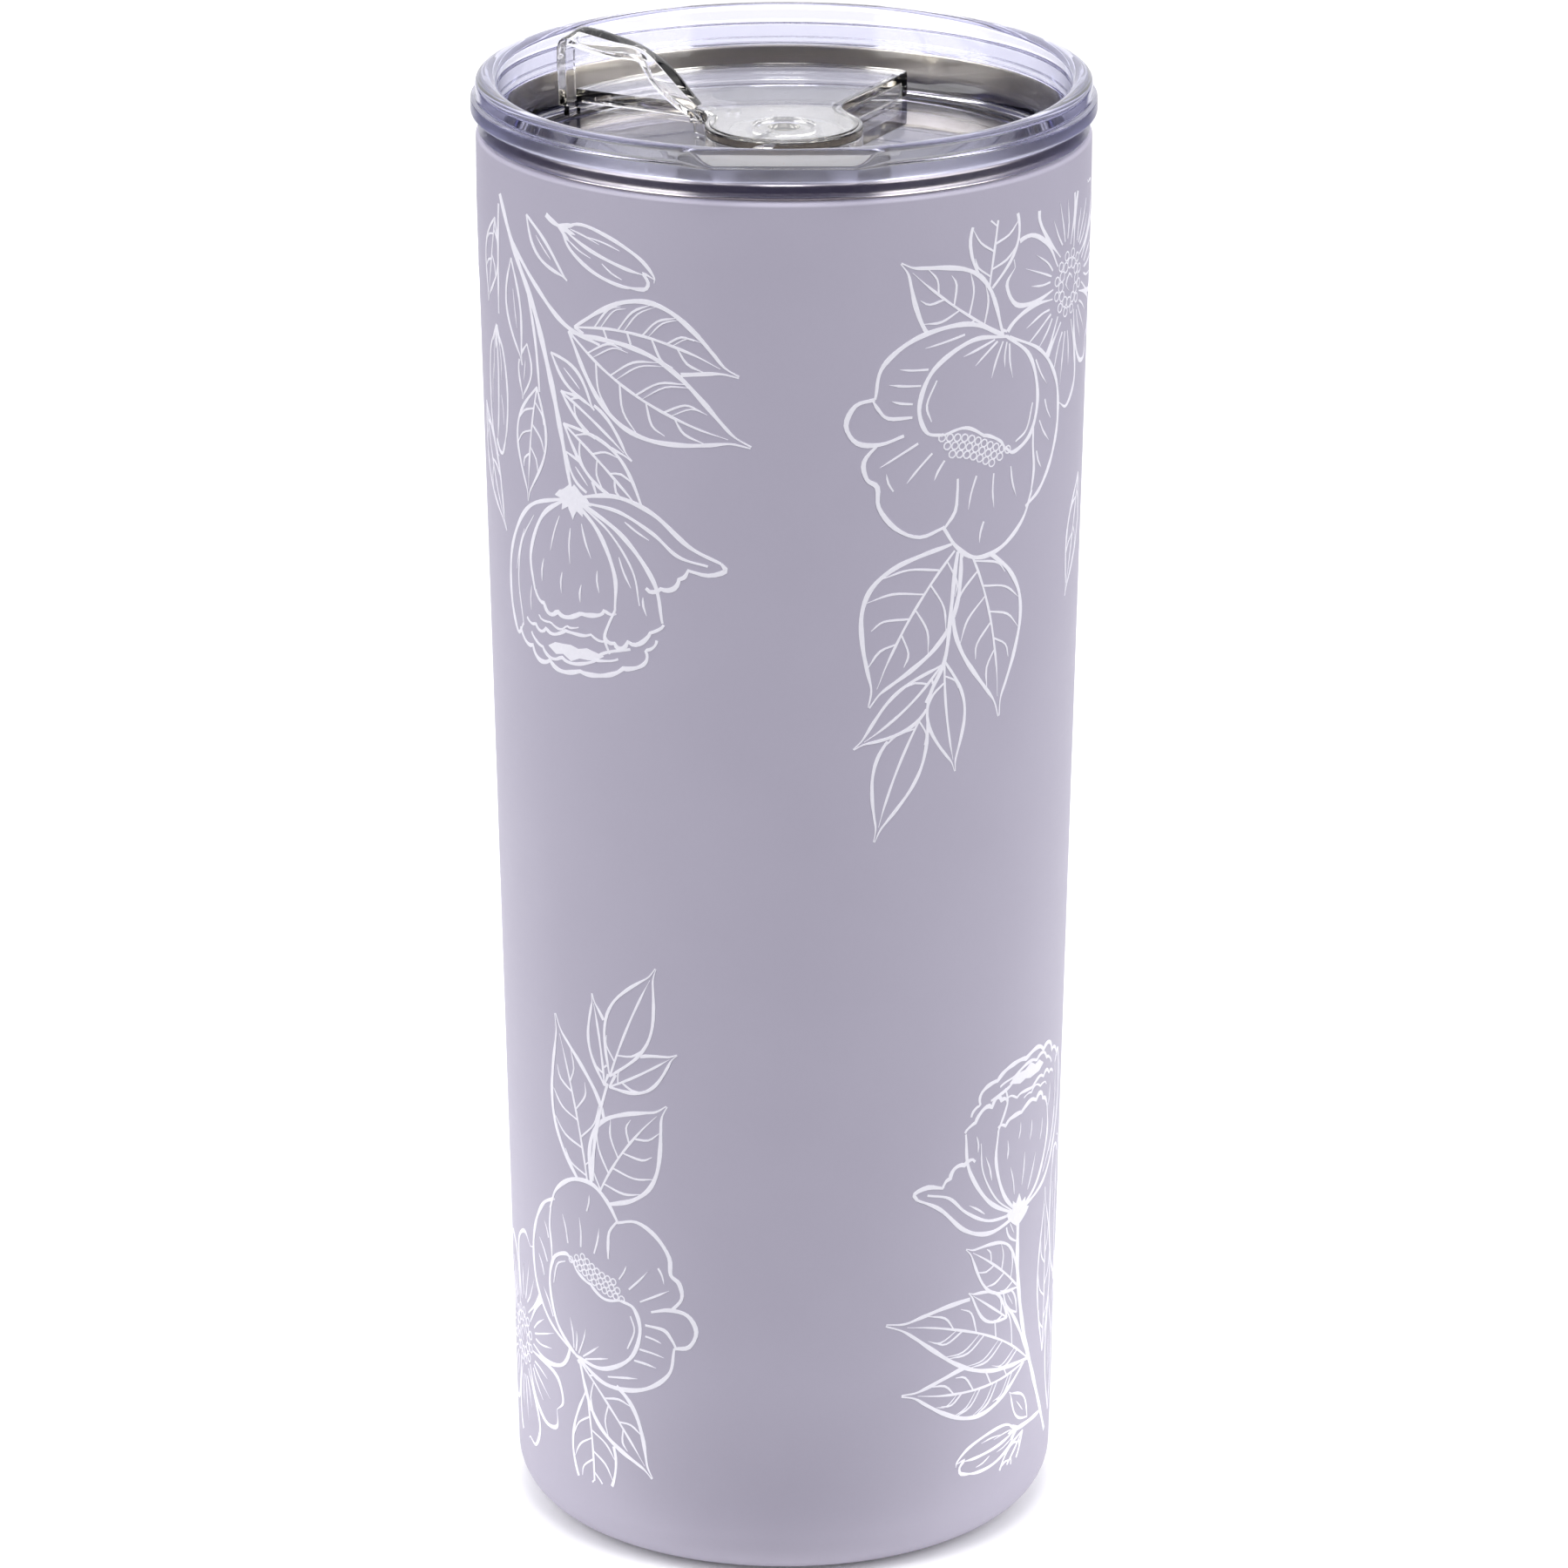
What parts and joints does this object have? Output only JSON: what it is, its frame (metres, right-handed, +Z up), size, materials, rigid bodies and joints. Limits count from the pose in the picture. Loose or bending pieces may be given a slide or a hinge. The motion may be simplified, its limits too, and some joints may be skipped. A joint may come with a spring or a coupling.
{
  "type": "insulated tumbler with lid",
  "caption": "Tall tapered double-wall steel tumbler with a clear press-in lid, a raised rim, a front lift tab and a swivel closure with a thumb fin over the drink opening.",
  "frame": {"origin": "centre of the base, on the surface that the tumbler stands on", "axes": "+Z up along the cup's axis; the lid's lift tab is at -Y and the drink opening at +Y; +X is to the right of the tab seen from the front"},
  "size_m": [0.0768, 0.0768, 0.1882],
  "materials": {
    "powder_coat": "matte powder coat, lavender grey",
    "line_art": "thin white printed lines",
    "brushed_steel": "fine circular brushing",
    "copper_foil": "thin rolled foil",
    "seal_glass": "fused bead",
    "getter_alloy": "pressed powder",
    "pad_silicone": "matte silicone",
    "clear_silicone": "translucent silicone",
    "clear_lid": "clear polished, faint violet in thick edges",
    "clear_closure": "clear polished, faint warm tint"
  },
  "bodies": {
    "cup": {"outer_shell": "powder_coat", "inner_liner": "brushed_steel", "foil_wrap": "copper_foil", "outer_base": "brushed_steel", "vacuum_seal_bead": "seal_glass", "getter_holder": "brushed_steel", "getter_pill": "getter_alloy", "base_cap": "brushed_steel", "base_pad": "pad_silicone"},
    "lid": {"lid_body": "clear_lid", "lid_gasket": "clear_silicone"},
    "closure": {"closure_flap": "clear_closure", "pivot_retainer": "clear_silicone", "pivot_o_ring": "clear_silicone"}
  },
  "joints": [
    {"name": "lid_lift", "type": "slide", "parent": "cup", "child": "lid", "axis": [0, 0, 1], "range_m": [0, 0.035]},
    {"name": "closure_swivel", "type": "hinge", "parent": "lid", "child": "closure", "pos_m": [0, 0, 0.1768], "axis": [0, 0, 1], "range_deg": [0, 62]}
  ]
}
